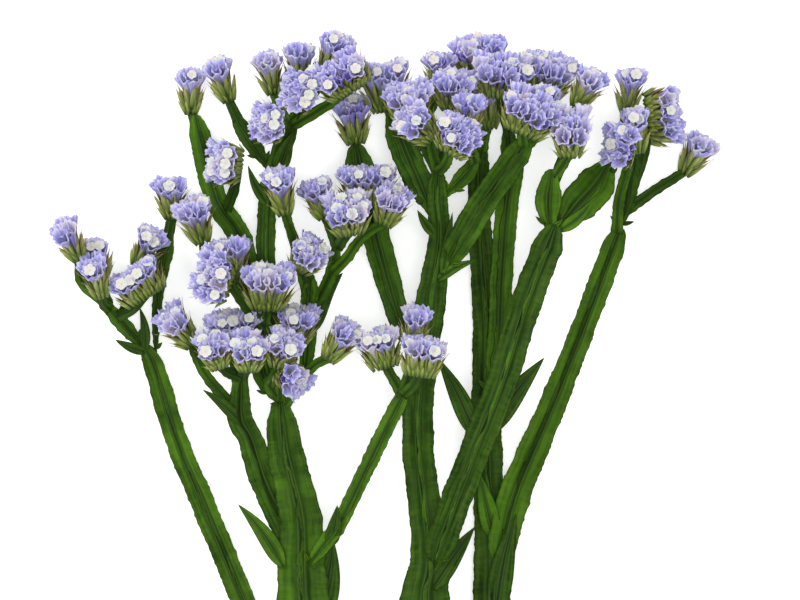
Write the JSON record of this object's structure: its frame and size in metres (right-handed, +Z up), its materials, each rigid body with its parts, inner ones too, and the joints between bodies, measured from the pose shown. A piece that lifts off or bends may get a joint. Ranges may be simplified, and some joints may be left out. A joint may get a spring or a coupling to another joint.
{
  "type": "dried statice spray",
  "caption": "Cut, branched stem of statice with winged stalks, leafy tips and fans of papery lavender calyces, lying down.",
  "frame": {"origin": "the flattened strip under the lowest stem, on the surface that the spray lies on", "axes": "+Y from the cut end towards the flowers, along the spray; +Z up from the surface; +X across the spray"},
  "size_m": [0.2705, 0.362, 0.0752],
  "materials": {
    "green": "leafy green stems, wings and bracts, slightly waxy",
    "lavender": "papery calyces, matt",
    "white": "small soft corollas, matt"
  },
  "bodies": {
    "root": {"head_back_comb": "lavender", "head_back_side": "lavender", "head_broad": "lavender", "head_broad_side": "lavender", "head_crown_back": "lavender", "head_crown_edge": "lavender", "head_crown_front": "lavender", "head_crown_left": "lavender", "head_crown_left_back": "lavender", "head_crown_low": "lavender", "head_crown_middle": "lavender", "head_crown_right": "lavender", "head_far_left": "lavender", "head_far_left_back": "lavender", "head_far_left_front": "lavender", "head_far_right_back": "lavender", "head_far_right_comb": "lavender", "head_far_right_low": "lavender", "head_far_right_middle": "lavender", "head_far_right_side": "lavender", "head_front_comb": "lavender", "head_front_fork": "lavender", "head_front_left": "lavender", "head_front_side": "lavender", "head_front_tall": "lavender", "head_inner_comb": "lavender", "head_left_comb": "lavender", "head_left_stalked": "lavender", "head_left_thin": "lavender", "head_left_upright": "lavender", "head_middle": "lavender", "head_middle_back": "lavender", "head_middle_front": "lavender", "head_peak": "lavender", "head_peak_left": "lavender", "head_peak_low": "lavender", "head_peak_right": "lavender", "head_right_fork": "lavender", "head_side_front_left": "lavender", "head_side_front_low": "lavender", "head_side_front_middle": "lavender", "head_side_front_right": "lavender", "head_side_left": "lavender", "head_side_right": "lavender", "head_top_diagonal": "lavender", "head_top_edge": "lavender", "head_top_front": "lavender", "head_top_left": "lavender", "head_top_left_fork": "lavender", "head_top_right": "lavender", "head_top_thin": "lavender", "head_upper_front": "lavender", "head_upper_left": "lavender", "head_upper_right": "lavender", "head_upper_row": "lavender", "head_upright_side": "lavender", "head_upright_top": "lavender", "stems": "green"}
  },
  "joints": []
}
